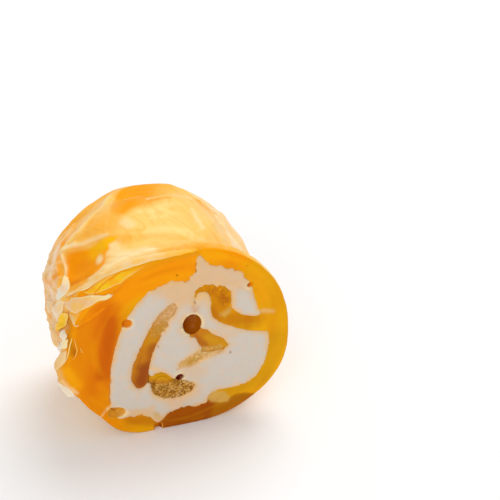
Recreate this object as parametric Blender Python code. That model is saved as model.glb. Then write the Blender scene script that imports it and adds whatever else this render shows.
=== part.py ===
"""A piece of salt water taffy, cut from a rolled rope and lying on its side.

A thick amber sheet wraps a white taffy core and runs into it as a hook. Three more amber pieces lie in the
white: a long curl, a wedge with a blown bubble, and a foamy nodule. Every layer runs from the front cut to
the back cut and turns a little on the way, as a pulled rope does.

X is across the roll, Y runs along it from the front cut to the back, and Z is up. Sizes are in millimetres,
and outlines are (x, z) points about the roll's own axis, as seen on the front cut. At the end all of it is
placed so that the origin is under the middle of the piece, on the surface that it rests on.
"""

import math
from collections import namedtuple

import bmesh
import bpy
from mathutils import Vector, noise

MM = 0.001
GAP = 0.3  # clearance that every layer keeps to its neighbours

# The roll. Angles are in degrees anticlockwise from +X, seen from the front.
ROLL_LENGTH = 15.5
AXIS_HEIGHT = 12.1  # of the roll's axis over the surface that it rests on
RIM_RADII = (12.6, 12.4, 12.1, 11.6, 12.4, 12.3, 12.4, 13.1, 13.3, 12.3, 12.9, 13.3)  # every 30 degrees
BEHIND_RIM = (0.0, -0.4, 0.1, 0.6, -0.1, -0.5, -0.7, -1.0, -0.4, 0.2, 0.1, 0.0)  # added past the front rim
BODY_SHIFT = (-1.2, 0.2)  # the body behind the front rim sits this far across and up from it
SHIFT_LENGTH = 3.0
LENGTH_PROFILE = (  # (distance from the front cut, change of radius)
    (0.0, -0.15), (0.3, 0.0), (0.9, 0.15), (2.1, -0.6), (5.0, -0.2),
    (9.0, 0.2), (12.5, -0.25), (14.6, -1.1), (15.3, -1.7), (ROLL_LENGTH, -2.2),
)
ROLL_SIDES = 96
RING_PITCH = 0.8
RELIEF_FADE = (0.8, 1.6)  # folds and flakes die away over these distances from the front and back cuts

# Every layer turns and narrows towards the back cut
LAYER_TURN = -16.0  # from cut to cut
LAYER_NARROWING = 0.12
LAYER_STATIONS = (0.0, 1.0, 2.0, 3.2, 9.2, ROLL_LENGTH)  # distances from the front cut where they bend
LAYER_CURVE_STEPS = 2
CUTTER_PAST = 2.0  # how far a cutter runs past both cuts
WELD = 0.01

# Folds of the amber skin run from one (angle, distance from the front cut) to another
Fold = namedtuple("Fold", "start end height half_width")
FOLDS = (
    Fold((157, 3.4), (139, 0.7), 0.6, 0.7),  # from the knot on the upper left down to the lip
    Fold((152, 4.0), (142, 7.9), 0.6, 0.7),  # left side of the deep pocket
    Fold((142, 7.9), (111, 6.7), 0.5, 0.7),  # top side of the deep pocket
    Fold((150, 6.0), (171, 13.0), 0.4, 0.7),
    Fold((159, 3.6), (186, 11.5), 0.5, 0.7),
    Fold((169, 2.4), (200, 9.5), 0.4, 0.7),
    Fold((182, 1.4), (214, 7.0), 0.35, 0.7),
    Fold((99, 9.6), (73, 9.1), 0.3, 0.6),
    Fold((112, 12.4), (66, 12.9), 0.35, 0.7),
    Fold((60, 5.0), (34, 12.5), 0.3, 0.8),
    Fold((22, 3.0), (-14, 9.5), 0.45, 0.8),
    Fold((-4, 11.5), (-40, 5.0), 0.4, 0.8),
    Fold((-30, 12.5), (-62, 9.0), 0.4, 0.8),
    Fold((236, 3.5), (218, 12.5), 0.4, 0.8),
)
FOLD_FADE = 0.2  # of a fold's length, past both of its ends
Pocket = namedtuple("Pocket", "angle along half_angle half_length depth")
POCKETS = (
    Pocket(126, 14.5, 20, 4.5, 0.8),
    Pocket(130, 4.9, 13, 2.3, 0.75),
    Pocket(90, 10.7, 15, 1.3, 0.3),
    Pocket(162, 1.9, 5, 1.4, 0.35),
    Pocket(8, 8.5, 13, 2.6, 0.5),
    Pocket(-38, 9.3, 12, 2.2, 0.45),
    Pocket(205, 10.0, 12, 2.4, 0.45),
)
POCKET_EDGE = 1.35  # a pocket ends at this many of its half sizes from its middle

# Flaky skin on the left of the roll
CRUMPLE_HEIGHT = 0.35
CRUMPLE_SIZE = 1.7
CRUMPLE_CENTRE = (188, 3.5)
CRUMPLE_HALF = (34, 6.5)
CRUMPLE_EDGE = 1.2

# Thin skin that hangs over the front cut. Its lower edge is (angle, distance out from the rim).
LIP_EDGE = (
    (157, -0.4), (150, -0.9), (143, -1.1), (136, -1.95), (130, -2.0), (121, -1.8), (110, -1.6),
    (100, -1.15), (90, -0.85), (80, -0.5),
)
LIP_TOP = -0.25
LIP_PROUD = 0.45
LIP_DEPTH = 0.5  # of its root behind the cut

# A lobe of skin that stands off the left side
TAB_EDGE = ((192, -0.4), (196, 0.9), (202, 1.15), (207, 0.6), (210, -0.4))
TAB_ROOT = -1.3
TAB_FRONT = 0.4
TAB_BACK = 1.2

# White core, clockwise from the tip of the spike that nearly reaches the rim
CORE_OUTLINE = (
    (2.6, 10.6), (3.3, 9.5), (4.9, 8.6), (6.3, 7.9), (7.5, 6.8), (8.2, 4.9), (8.8, 2.5), (9.7, 0.4),
    (10.1, -1.9), (9.8, -4.2), (9.1, -6.2), (7.9, -7.5), (5.6, -7.8), (3.6, -8.0), (2.6, -9.3), (0.2, -9.3),
    (-1.7, -9.9), (-2.7, -10.9), (-3.5, -9.8), (-5.0, -9.2), (-7.0, -9.2), (-7.9, -7.4), (-7.8, -4.4),
    (-7.2, -1.0), (-6.2, 2.3), (-4.8, 4.9), (-3.2, 6.7), (-0.9, 7.7), (1.1, 7.5), (2.1, 8.4),
)

# Amber layers in the core, each a ribbon: (x, z, half of its width)
HOOK_PATH = (
    (12.0, 0.5, 1.3), (9.6, 0.3, 0.95), (7.6, 0.75, 0.75), (6.1, 1.6, 0.75), (4.9, 2.8, 1.0), (4.8, 4.8, 1.1),
    (3.6, 6.05, 0.5), (2.4, 5.8, 0.4), (1.9, 4.7, 0.2),
)
CURL_PATH = (
    (-0.5, 4.4, 0.4), (-1.6, 3.1, 0.65), (-2.9, 0.7, 0.7), (-3.9, -1.6, 0.75), (-4.35, -3.4, 0.85),
    (-4.4, -4.9, 0.7),
)
NODULE_PATH = ((-2.3, -4.9, 0.95), (-1.8, -6.1, 1.25), (-0.4, -6.7, 1.15), (0.9, -6.75, 0.7))

# The wedge broadens round its bubble and thins to the right, clockwise from the top
WEDGE_OUTLINE = (
    (1.5, 3.35), (2.6, 2.7), (2.7, 1.35), (3.9, -0.2), (5.5, -1.95), (4.2, -2.25), (2.5, -2.0), (1.6, -0.4),
    (0.6, 1.0), (0.3, 2.3),
)

# How far the ends of each layer lie back from the cuts. The core's stand out.
CORE_RECESS = -0.12
AMBER_RECESS = 0.3
NODULE_RECESS = 0.15

# Air bubbles that the front cut opens. The edge bubbles lie where the core meets the wrap.
Bubble = namedtuple("Bubble", "x z radius")
WEDGE_BUBBLE = Bubble(1.5, 2.1, 1.0)
NODULE_BUBBLE = Bubble(-0.2, -5.3, 0.45)
EDGE_BUBBLES = (Bubble(-5.6, 3.5, 0.52), Bubble(8.0, 5.7, 0.3), Bubble(-7.4, -8.2, 0.8))
RIM_NICK = Bubble(-2.7, -11.6, 0.6)
BUBBLE_DEPTH = 0.2  # their centres lie this far behind the cut
BUBBLE_SIDES = 12

# Foam grains on both ends of the nodule
GRAINS = 13
GRAIN_RADIUS = 0.48
GRAIN_SIDES = 6
GRAIN_SPREAD = 0.65  # of the nodule's half width
GOLDEN_RATIO = (math.sqrt(5.0) - 1.0) / 2.0

# Looks: (base colour, roughness)
AMBER = ((0.80, 0.36, 0.02, 1.0), 0.22)
DEEP_AMBER = ((0.55, 0.20, 0.01, 1.0), 0.30)
FOAM = ((0.72, 0.47, 0.17, 1.0), 0.60)
WHITE = ((0.72, 0.66, 0.60, 1.0), 0.50)


def clear_scene():
    for obj in list(bpy.data.objects):
        bpy.data.objects.remove(obj)


def new_collection(name):
    collection = bpy.data.collections.new(name)
    bpy.context.scene.collection.children.link(collection)
    return collection


def finish(obj, look):
    colour, roughness = look
    material = bpy.data.materials.new(obj.name)
    material.use_nodes = True
    shader = material.node_tree.nodes["Principled BSDF"]
    shader.inputs["Base Color"].default_value = colour
    shader.inputs["Roughness"].default_value = roughness
    shader.inputs["Metallic"].default_value = 0.0
    obj.data.materials.append(material)


def smoothstep(share):
    share = min(1.0, max(0.0, share))
    return share * share * (3.0 - 2.0 * share)


def between(keys, position):
    """The value at a position on a list of (position, value), eased from each key to the next."""
    if position <= keys[0][0]:
        return keys[0][1]
    for (start, low), (end, high) in zip(keys, keys[1:]):
        if position <= end:
            return low + (high - low) * smoothstep((position - start) / (end - start))
    return keys[-1][1]


def round_the_clock(values, angle):
    """The value at an angle, on a smooth loop through evenly spaced values."""
    count = len(values)
    step = (angle % 360.0) / 360.0 * count
    first = int(step) % count
    t = step - int(step)
    a, b, c, d = (values[(first + k) % count] for k in (-1, 0, 1, 2))
    bend = 2 * a - 5 * b + 4 * c - d
    twist = 3 * b - a - 3 * c + d
    return b + 0.5 * ((c - a) * t + bend * t ** 2 + twist * t ** 3)


# The amber roll's outer form

MEAN_RADIUS = sum(RIM_RADII) / len(RIM_RADII)
MM_PER_DEGREE = math.radians(MEAN_RADIUS)


def turn_between(angle, other):
    """How far angle lies past other, in degrees from -180 to 180."""
    return (angle - other + 180.0) % 360.0 - 180.0


def fold_height(fold, angle, along):
    """A ridge that fades out at both ends."""
    run = Vector((turn_between(fold.end[0], fold.start[0]) * MM_PER_DEGREE, fold.end[1] - fold.start[1]))
    here = Vector((turn_between(angle, fold.start[0]) * MM_PER_DEGREE, along - fold.start[1]))
    share = here.dot(run) / run.length_squared
    fade_in = smoothstep((share + FOLD_FADE) / (2 * FOLD_FADE))
    fade_out = smoothstep((1 + FOLD_FADE - share) / (2 * FOLD_FADE))
    off = (here - run * share).length
    return fold.height * fade_in * fade_out * math.exp(-((off / fold.half_width) ** 2))


def pocket_depth(pocket, angle, along):
    across = turn_between(angle, pocket.angle) / pocket.half_angle
    lengthways = (along - pocket.along) / pocket.half_length
    return pocket.depth * smoothstep(POCKET_EDGE - math.hypot(across, lengthways))


def crumple_height(angle, along):
    """Flakes of cracked skin: cells of uneven height, strongest in the middle of the flaky patch."""
    across = turn_between(angle, CRUMPLE_CENTRE[0]) / CRUMPLE_HALF[0]
    lengthways = (along - CRUMPLE_CENTRE[1]) / CRUMPLE_HALF[1]
    strength = smoothstep(CRUMPLE_EDGE - math.hypot(across, lengthways))
    at = Vector((angle * MM_PER_DEGREE, along, 0.0)) / CRUMPLE_SIZE
    return CRUMPLE_HEIGHT * strength * noise.noise(at)


def relief(angle, along):
    """Folds, pockets and flakes. They stop short of both cuts."""
    total = sum(fold_height(fold, angle, along) for fold in FOLDS)
    total -= sum(pocket_depth(pocket, angle, along) for pocket in POCKETS)
    total += crumple_height(angle, along)
    front_fade, back_fade = RELIEF_FADE
    return total * smoothstep(along / front_fade) * smoothstep((ROLL_LENGTH - along) / back_fade)


def body_shift(along):
    share = smoothstep(along / SHIFT_LENGTH)
    return Vector((BODY_SHIFT[0] * share, 0.0, BODY_SHIFT[1] * share))


def rim_radius(angle):
    return round_the_clock(RIM_RADII, angle)


def skin_point(angle, along):
    """A point of the roll's outer skin, in millimetres about the roll's axis."""
    radius = rim_radius(angle) + between(LENGTH_PROFILE, along) + relief(angle, along)
    radius += smoothstep(along / SHIFT_LENGTH) * round_the_clock(BEHIND_RIM, angle)
    turn = math.radians(angle)
    return body_shift(along) + Vector((radius * math.cos(turn), along, radius * math.sin(turn)))


def add_mesh(name, shape, collection):
    """An object from a bmesh in millimetres about the roll's axis."""
    bmesh.ops.scale(shape, vec=(MM, MM, MM), verts=shape.verts)
    bmesh.ops.recalc_face_normals(shape, faces=shape.faces)
    mesh = bpy.data.meshes.new(name)
    shape.to_mesh(mesh)
    shape.free()
    obj = bpy.data.objects.new(name, mesh)
    collection.objects.link(obj)
    return obj


def slice_across(shape, place):
    """Cuts a shape one unit long, centred on its own Z axis, at a share of its length."""
    parts = shape.verts[:] + shape.edges[:] + shape.faces[:]
    bmesh.ops.bisect_plane(shape, geom=parts, plane_co=(0, 0, place - 0.5), plane_no=(0, 0, 1))


def add_roll(name, collection):
    """A cylinder cut into rings, moved out to the skin, and cut flat where it rests."""
    shape = bmesh.new()
    bmesh.ops.create_cone(shape, cap_ends=True, segments=ROLL_SIDES, radius1=1.0, radius2=1.0, depth=1.0)
    rings = round(ROLL_LENGTH / RING_PITCH)
    for ring in range(1, rings):
        slice_across(shape, ring / rings)
    for vert in shape.verts:
        angle = math.degrees(math.atan2(vert.co.y, vert.co.x))
        vert.co = skin_point(angle, (vert.co.z + 0.5) * ROLL_LENGTH)
    parts = shape.verts[:] + shape.edges[:] + shape.faces[:]
    cut = bmesh.ops.bisect_plane(
        shape, geom=parts, plane_co=(0, 0, -AXIS_HEIGHT), plane_no=(0, 0, -1), clear_outer=True)
    edges = [part for part in cut["geom_cut"] if isinstance(part, bmesh.types.BMEdge)]
    bmesh.ops.holes_fill(shape, edges=edges)
    return add_mesh(name, shape, collection)


# Layers: flat outlines swept from cut to cut

def ribbon_outline(path):
    """The outline of a ribbon along (x, z, half width) points, with a round at each end."""
    centres = [Vector((x, z)) for x, z, _ in path]
    left, right = [], []
    for index, (x, z, half) in enumerate(path):
        ahead = centres[min(index + 1, len(path) - 1)] - centres[max(index - 1, 0)]
        side = Vector((-ahead.y, ahead.x)).normalized() * half
        left.append(centres[index] + side)
        right.append(centres[index] - side)
    first_tip = centres[0] - (centres[1] - centres[0]).normalized() * path[0][2]
    last_tip = centres[-1] + (centres[-1] - centres[-2]).normalized() * path[-1][2]
    return [first_tip] + left + [last_tip] + right[::-1]


def layer_place(x, along, z):
    """Where a point of the front cut's outline lies further along the roll."""
    share = along / ROLL_LENGTH
    turn = math.radians(LAYER_TURN * share)
    size = 1.0 - LAYER_NARROWING * share
    across = (x * math.cos(turn) - z * math.sin(turn)) * size
    up = (x * math.sin(turn) + z * math.cos(turn)) * size
    return body_shift(along) + Vector((across, along, up))


def add_layer(name, outline, front, back, collection, grow=0.0):
    """A layer between two distances from the front cut, its outline grown by a clearance."""
    curve = bpy.data.curves.new(name, "CURVE")
    curve.dimensions = "2D"
    curve.fill_mode = "BOTH"
    curve.extrude = 0.5
    curve.offset = grow
    curve.resolution_u = LAYER_CURVE_STEPS
    spline = curve.splines.new("BEZIER")
    spline.bezier_points.add(len(outline) - 1)
    for point, (x, z) in zip(spline.bezier_points, outline):
        point.co = (x, z, 0.0)
        point.handle_left_type = point.handle_right_type = "AUTO"
    spline.use_cyclic_u = True
    guide = bpy.data.objects.new(name + "_guide", curve)
    collection.objects.link(guide)
    bpy.context.view_layer.update()
    drawn = guide.evaluated_get(bpy.context.evaluated_depsgraph_get())
    shape = bmesh.new()
    shape.from_mesh(drawn.to_mesh())
    bpy.data.objects.remove(guide)
    bmesh.ops.remove_doubles(shape, verts=shape.verts, dist=WELD)
    for station in LAYER_STATIONS:
        if front < station < back:
            slice_across(shape, (station - front) / (back - front))
    for vert in shape.verts:
        vert.co = layer_place(vert.co.x, front + (vert.co.z + 0.5) * (back - front), vert.co.y)
    return add_mesh(name, shape, collection)


def add_ball(name, centre, radius, sides, collection):
    shape = bmesh.new()
    bmesh.ops.create_uvsphere(shape, u_segments=sides, v_segments=sides // 2 + 1, radius=radius)
    bmesh.ops.translate(shape, vec=centre, verts=shape.verts)
    return add_mesh(name, shape, collection)


def apply_modifiers(obj):
    bpy.context.view_layer.update()
    finished = bpy.data.meshes.new_from_object(obj.evaluated_get(bpy.context.evaluated_depsgraph_get()))
    obj.modifiers.clear()
    obj.data = finished


def combine(obj, operation, other):
    modifier = obj.modifiers.new(operation.title() + "_" + other.name, "BOOLEAN")
    modifier.operation = operation
    modifier.object = other
    other.hide_render = True
    other.display_type = "WIRE"


def add_rim_plate(name, edge, root, front, back, collection):
    """A plate along the rim, between an edge of (angle, distance out from the rim) and a root distance."""
    points = []
    for angle, out in edge + tuple((angle, root) for angle, _ in reversed(edge)):
        radius = rim_radius(angle) + out
        points.append((radius * math.cos(math.radians(angle)), radius * math.sin(math.radians(angle))))
    return add_layer(name, points, front, back, collection)


def cut_bubbles(obj, bubbles, collection):
    """Pits where the front cut opened air bubbles."""
    for number, bubble in enumerate(bubbles, start=1):
        centre = (bubble.x, BUBBLE_DEPTH, bubble.z)
        name = f"{obj.name}_bubble_{number}"
        combine(obj, "DIFFERENCE", add_ball(name, centre, bubble.radius, BUBBLE_SIDES, collection))


def add_foam_grains(foam):
    """Fuses grains to both ends of the nodule, spread along its path by the golden ratio."""
    grains = new_collection("foam_grains")
    last = len(NODULE_PATH) - 1
    for number in range(GRAINS):
        place = (number + 0.5) / GRAINS * last
        step = int(place)
        x, z, half = Vector(NODULE_PATH[step]).lerp(NODULE_PATH[step + 1], place - step)
        spread = math.modf(number * GOLDEN_RATIO)[0] * 2.0 - 1.0
        for along in (NODULE_RECESS, ROLL_LENGTH - NODULE_RECESS):
            centre = layer_place(x, along, z + spread * half * GRAIN_SPREAD)
            add_ball(f"grain_{number}", centre, GRAIN_RADIUS, GRAIN_SIDES, grains)
    union = foam.modifiers.new("Grains", "BOOLEAN")
    union.operation = "UNION"
    union.operand_type = "COLLECTION"
    union.collection = grains
    apply_modifiers(foam)
    for grain in list(grains.objects):
        bpy.data.objects.remove(grain)
    bpy.data.collections.remove(grains)


# The five pieces

def build_wrap(hook, taffy, cutters):
    """The thick amber sheet, with its lip over the front cut, its side lobe and its hook into the core."""
    wrap = add_roll("amber_wrap", taffy)
    combine(wrap, "UNION", add_rim_plate("lip", LIP_EDGE, LIP_TOP, -LIP_PROUD, LIP_DEPTH, cutters))
    combine(wrap, "UNION", add_rim_plate("tab", TAB_EDGE, TAB_ROOT, TAB_FRONT, TAB_BACK, cutters))
    cut_bubbles(wrap, EDGE_BUBBLES + (RIM_NICK,), cutters)
    hollow = add_layer("core_hollow", CORE_OUTLINE, -CUTTER_PAST, ROLL_LENGTH + CUTTER_PAST, cutters, GAP)
    hook_solid = add_layer("hook_solid", hook, -2 * CUTTER_PAST, ROLL_LENGTH + 2 * CUTTER_PAST, cutters)
    combine(hollow, "DIFFERENCE", hook_solid)
    combine(wrap, "DIFFERENCE", hollow)
    finish(wrap, AMBER)
    return wrap


def build_core(amber_outlines, taffy, cutters):
    """The white taffy, cut clear of every amber layer that runs through it."""
    core = add_layer("white_core", CORE_OUTLINE, CORE_RECESS, ROLL_LENGTH - CORE_RECESS, taffy)
    cut_bubbles(core, EDGE_BUBBLES + (NODULE_BUBBLE,), cutters)
    for name, outline in amber_outlines.items():
        space = add_layer(name + "_space", outline, -CUTTER_PAST, ROLL_LENGTH + CUTTER_PAST, cutters, GAP)
        combine(core, "DIFFERENCE", space)
    finish(core, WHITE)
    return core


def build_curl(outline, taffy):
    curl = add_layer("amber_curl", outline, AMBER_RECESS, ROLL_LENGTH - AMBER_RECESS, taffy)
    finish(curl, DEEP_AMBER)
    return curl


def build_wedge(outline, taffy, cutters):
    wedge = add_layer("amber_wedge", outline, AMBER_RECESS, ROLL_LENGTH - AMBER_RECESS, taffy)
    cut_bubbles(wedge, (WEDGE_BUBBLE,), cutters)
    finish(wedge, DEEP_AMBER)
    return wedge


def build_nodule(outline, taffy, cutters):
    nodule = add_layer("foam_nodule", outline, NODULE_RECESS, ROLL_LENGTH - NODULE_RECESS, taffy)
    add_foam_grains(nodule)
    cut_bubbles(nodule, (NODULE_BUBBLE,), cutters)
    finish(nodule, FOAM)
    return nodule


def box_of(solids):
    """The lowest and highest corners of the finished solids."""
    bpy.context.view_layer.update()
    depsgraph = bpy.context.evaluated_depsgraph_get()
    points = []
    for solid in solids:
        points += [vert.co.copy() for vert in solid.evaluated_get(depsgraph).to_mesh().vertices]
    low = Vector(min(point[axis] for point in points) for axis in range(3))
    high = Vector(max(point[axis] for point in points) for axis in range(3))
    return low, high


def stand_on_origin(solids):
    """Hangs every object on an empty that brings the bottom centre of the solids' box to the origin."""
    low, high = box_of(solids)
    stand = bpy.data.objects.new("stand", None)
    for collection in bpy.context.scene.collection.children:
        for obj in collection.objects:
            obj.parent = stand
    bpy.context.scene.collection.objects.link(stand)
    stand.location = (-(low.x + high.x) / 2, -(low.y + high.y) / 2, -low.z)


def build():
    clear_scene()
    taffy = new_collection("salt_water_taffy")
    cutters = new_collection("cutters")
    outlines = {
        "hook": ribbon_outline(HOOK_PATH),
        "curl": ribbon_outline(CURL_PATH),
        "wedge": WEDGE_OUTLINE,
        "nodule": ribbon_outline(NODULE_PATH),
    }
    stand_on_origin((
        build_wrap(outlines["hook"], taffy, cutters),
        build_core(outlines, taffy, cutters),
        build_curl(outlines["curl"], taffy),
        build_wedge(outlines["wedge"], taffy, cutters),
        build_nodule(outlines["nodule"], taffy, cutters),
    ))


build()
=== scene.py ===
import math
from types import SimpleNamespace

import bpy
import numpy as np
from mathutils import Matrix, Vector, noise
from mathutils.bvhtree import BVHTree


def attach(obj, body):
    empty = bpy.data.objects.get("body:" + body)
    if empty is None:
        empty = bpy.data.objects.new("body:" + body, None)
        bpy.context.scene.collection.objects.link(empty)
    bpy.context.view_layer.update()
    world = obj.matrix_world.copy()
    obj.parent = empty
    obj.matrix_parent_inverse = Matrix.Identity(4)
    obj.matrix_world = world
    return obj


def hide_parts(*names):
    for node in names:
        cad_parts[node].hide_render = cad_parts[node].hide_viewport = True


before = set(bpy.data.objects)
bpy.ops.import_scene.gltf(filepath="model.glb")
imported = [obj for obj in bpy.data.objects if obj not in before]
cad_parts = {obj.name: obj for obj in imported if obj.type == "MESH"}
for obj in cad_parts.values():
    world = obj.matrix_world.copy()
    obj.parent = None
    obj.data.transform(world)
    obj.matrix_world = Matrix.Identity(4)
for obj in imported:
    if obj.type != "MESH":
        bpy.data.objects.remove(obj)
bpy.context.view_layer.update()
mm = 0.001
noise.seed_set(4)        # the loose films wander the same way every time

# The roll as the solids have it, in millimetres from the middle of the front cut. X is across, Y runs
# back along the roll and Z is up. Angles go round the roll from +X, seen from the front.
roll = {
    "cutMiddle": np.array((0.537, -7.69, 12.1)),
    "length": 15.5,
    "rimRadius": 12.5,
    "bodyShift": (-1.2, 0.2),      # the body behind the rim sits this far across and up
    "shiftLength": 3.0,
    "layerTurn": -16.0,            # the layers turn this much from cut to cut
    "layerNarrowing": 0.12,
    "shownDepth": 1.3,             # further in from a cut than this, the inner layers don't show
}
mmPerDegree = math.radians(roll["rimRadius"])
speckRadius = 0.09


def srgb(red, green, blue):
    def linear(level):
        share = level / 255
        return share / 12.92 if share <= 0.04045 else ((share + 0.055) / 1.055) ** 2.4
    return np.array([linear(red), linear(green), linear(blue)])


paints = {
    "orange": srgb(251, 156, 0),
    "sun": srgb(255, 188, 0),
    "lemon": srgb(255, 198, 0),
    "butter": srgb(255, 178, 6),
    "caramel": srgb(224, 158, 44),
    "marigold": srgb(243, 161, 12),
    "amber": srgb(236, 142, 0),
    "gold": srgb(234, 166, 4),
    "olive": srgb(214, 152, 8),
    "deep": srgb(224, 115, 0),
    "ember": srgb(206, 96, 0),
    "ochre": srgb(202, 126, 6),
    "rust": srgb(176, 96, 4),
    "bark": srgb(172, 102, 2),
    "brown": srgb(158, 75, 2),
    "honey": srgb(250, 182, 70),
    "apricot": srgb(249, 192, 98),
    "peach": srgb(246, 204, 146),
    "tan": srgb(232, 175, 96),
    "milk": srgb(251, 207, 114),
    "cream": srgb(252, 226, 170),
    "pearl": srgb(240, 228, 208),
    "shell": srgb(241, 212, 180),
    "rose": srgb(243, 192, 142),
    "white": srgb(211, 201, 189),
    "blush": srgb(226, 187, 142),
    "wheat": srgb(214, 170, 86),
    "sand": srgb(218, 171, 118),
    "foam": srgb(196, 140, 44),
    "crumb": srgb(236, 190, 124),
    "bran": srgb(134, 80, 18),
    "hole": srgb(130, 24, 12),
}


# Small helpers

def pickNothing():
    bpy.ops.object.select_all(action="DESELECT")


def workOn(piece):
    pickNothing()
    piece.select_set(True)
    bpy.context.view_layer.objects.active = piece


def copyOfNode(node, name):
    piece = bpy.data.objects.new(name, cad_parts[node].data.copy())
    piece.data.name = name
    piece.data.materials.clear()
    bpy.context.scene.collection.objects.link(piece)
    workOn(piece)
    bpy.ops.object.mode_set(mode="EDIT")
    bpy.ops.mesh.select_all(action="SELECT")
    bpy.ops.mesh.remove_doubles(threshold=0.001 * mm)
    bpy.ops.object.mode_set(mode="OBJECT")
    return piece


def addAndApply(piece, kind, **settings):
    modifier = piece.modifiers.new(kind.lower(), kind)
    for key, value in settings.items():
        setattr(modifier, key, value)
    workOn(piece)
    bpy.ops.object.modifier_apply(modifier=modifier.name)


def editFaces(piece, chosen):
    # into edit mode with some faces picked, by where their middles are
    middles = np.empty(len(piece.data.polygons) * 3)
    piece.data.polygons.foreach_get("center", middles)
    picked = chosen(middles.reshape(-1, 3) / mm - roll["cutMiddle"])
    piece.data.polygons.foreach_set("select", picked)
    workOn(piece)
    bpy.ops.object.mode_set(mode="EDIT")
    bpy.ops.mesh.select_mode(type="FACE")


def thinHiddenWalls(piece, hidden, ratio):
    editFaces(piece, hidden)
    bpy.ops.mesh.decimate(ratio=ratio)
    bpy.ops.object.mode_set(mode="OBJECT")


def refine(piece, spots):
    # smaller faces round these spots of the front cut: x, z, radius
    def close(middles):
        near = np.zeros(len(middles), bool)
        for x, z, radius in spots:
            near |= np.hypot(middles[:, 0] - x, middles[:, 2] - z) < radius
        return near & (middles[:, 1] < 1.2)
    editFaces(piece, close)
    bpy.ops.mesh.subdivide(number_cuts=1)
    bpy.ops.object.mode_set(mode="OBJECT")


def rollPoints(piece):
    # every point in millimetres from the middle of the front cut
    flat = np.empty(len(piece.data.vertices) * 3)
    piece.data.vertices.foreach_get("co", flat)
    return flat.reshape(-1, 3) / mm - roll["cutMiddle"]


def setRollPoints(piece, points):
    piece.data.vertices.foreach_set("co", ((points + roll["cutMiddle"]) * mm).ravel())
    piece.data.update()


def pointNormals(piece):
    flat = np.empty(len(piece.data.vertices) * 3)
    piece.data.vertex_normals.foreach_get("vector", flat)
    return flat.reshape(-1, 3)


def finePiece(name, about):
    # a finer copy of a solid, with its points and their normals
    print(name)
    piece = copyOfNode(about["node"], name)
    addAndApply(piece, "REMESH", mode="VOXEL", voxel_size=about["voxel"] * mm)
    addAndApply(piece, "SMOOTH", factor=0.5, iterations=about["smoothing"])
    if "fineSpots" in about:
        refine(piece, about["fineSpots"])
    return piece, rollPoints(piece), pointNormals(piece)


def finishPiece(piece, points, tint, gloss):
    # the finished shape, its colours and how much its skin shines
    setRollPoints(piece, points)
    colours = np.ones((len(tint), 4), np.float32)
    colours[:, :3] = np.clip(tint, 0, 1)
    layer = piece.data.attributes.new("tint", "FLOAT_COLOR", "POINT")
    layer.data.foreach_set("color", colours.ravel())
    layer = piece.data.attributes.new("gloss", "FLOAT", "POINT")
    layer.data.foreach_set("value", np.full(len(tint), gloss, np.float32))


def ease(share):
    share = np.clip(share, 0.0, 1.0)
    return share * share * (3.0 - 2.0 * share)


def cloud(points, size, seed=0):
    # smooth noise, about -1 to 1, with lumps of this size in millimetres
    offset = seed * 17.3
    return np.array([noise.noise((x / size + offset, y / size, z / size)) for x, y, z in points])


def granules(points, size, where):
    # up to 1 in the middle of each granule, 0 in the gaps and wherever there are none
    found = np.zeros(len(points))
    for index in np.flatnonzero(where > 0.01):
        gaps, middles = noise.voronoi(Vector(points[index]) / size)
        brightness = float(ease(0.62 + 1.5 * noise.noise(middles[0] * 2.3)))
        found[index] = min(1, (gaps[1] - gaps[0]) * 1.8) ** 0.6 * (0.35 + 0.65 * brightness)
    return found


def shiftAt(along):
    share = ease(along / roll["shiftLength"])
    return roll["bodyShift"][0] * share, roll["bodyShift"][1] * share


def skinPlaces(points):
    # (angle round the roll, distance from the front cut) of every point
    across, up = shiftAt(points[:, 1])
    angles = np.degrees(np.arctan2(points[:, 2] - up, points[:, 0] - across))
    return angles, points[:, 1]


def layerPlaces(points):
    # where every point lies on the front cut, with the layers' turn and narrowing taken out
    share = np.clip(points[:, 1] / roll["length"], 0, 1)
    across, up = shiftAt(points[:, 1])
    turn = np.radians(roll["layerTurn"]) * share
    size = 1.0 - roll["layerNarrowing"] * share
    x = (points[:, 0] - across) / size
    z = (points[:, 2] - up) / size
    return x * np.cos(turn) + z * np.sin(turn), z * np.cos(turn) - x * np.sin(turn)


def strokeDistance(u, v, run):
    # how far points lie from a straight stroke that starts at their zero
    length = max(1e-9, run[0] ** 2 + run[1] ** 2)
    share = np.clip((u * run[0] + v * run[1]) / length, 0, 1)
    return np.hypot(u - run[0] * share, v - run[1] * share)


def skinStroke(angles, along, start, end):
    u = ((angles - start[0] + 180) % 360 - 180) * mmPerDegree
    run = (((end[0] - start[0] + 180) % 360 - 180) * mmPerDegree, end[1] - start[1])
    return strokeDistance(u, along - start[1], run)


def cutStroke(x, z, start, end):
    return strokeDistance(x - start[0], z - start[1], (end[0] - start[0], end[1] - start[1]))


def patchMask(u, v, corners, fade):
    # 1 inside the patch with these corners, falling off over this distance at its edge
    gap = np.full(len(u), 1e9)
    inside = np.zeros(len(u), bool)
    for start, end in zip(corners, corners[1:] + corners[:1]):
        run = (end[0] - start[0], end[1] - start[1])
        gap = np.minimum(gap, strokeDistance(u - start[0], v - start[1], run))
        crosses = (start[1] > v) != (end[1] > v)
        inside ^= crosses & (u < start[0] + (v - start[1]) * run[0] / (run[1] or 1))
    return ease(0.5 + np.where(inside, gap, -gap) / fade)


def skinPatch(angles, along, corners, fade):
    flat = tuple((angle * mmPerDegree, distance) for angle, distance in corners)
    return patchMask(angles % 360 * mmPerDegree, along, flat, fade)


def brush(tint, paint, mask):
    return tint + (paints[paint] - tint) * np.clip(mask, 0, 1)[:, None]


def softMask(distance, halfWidth):
    # 1 along a stroke, half at about its half width, 0 further out
    return 1 - ease(distance / (halfWidth * 1.6) - 0.15)


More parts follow.
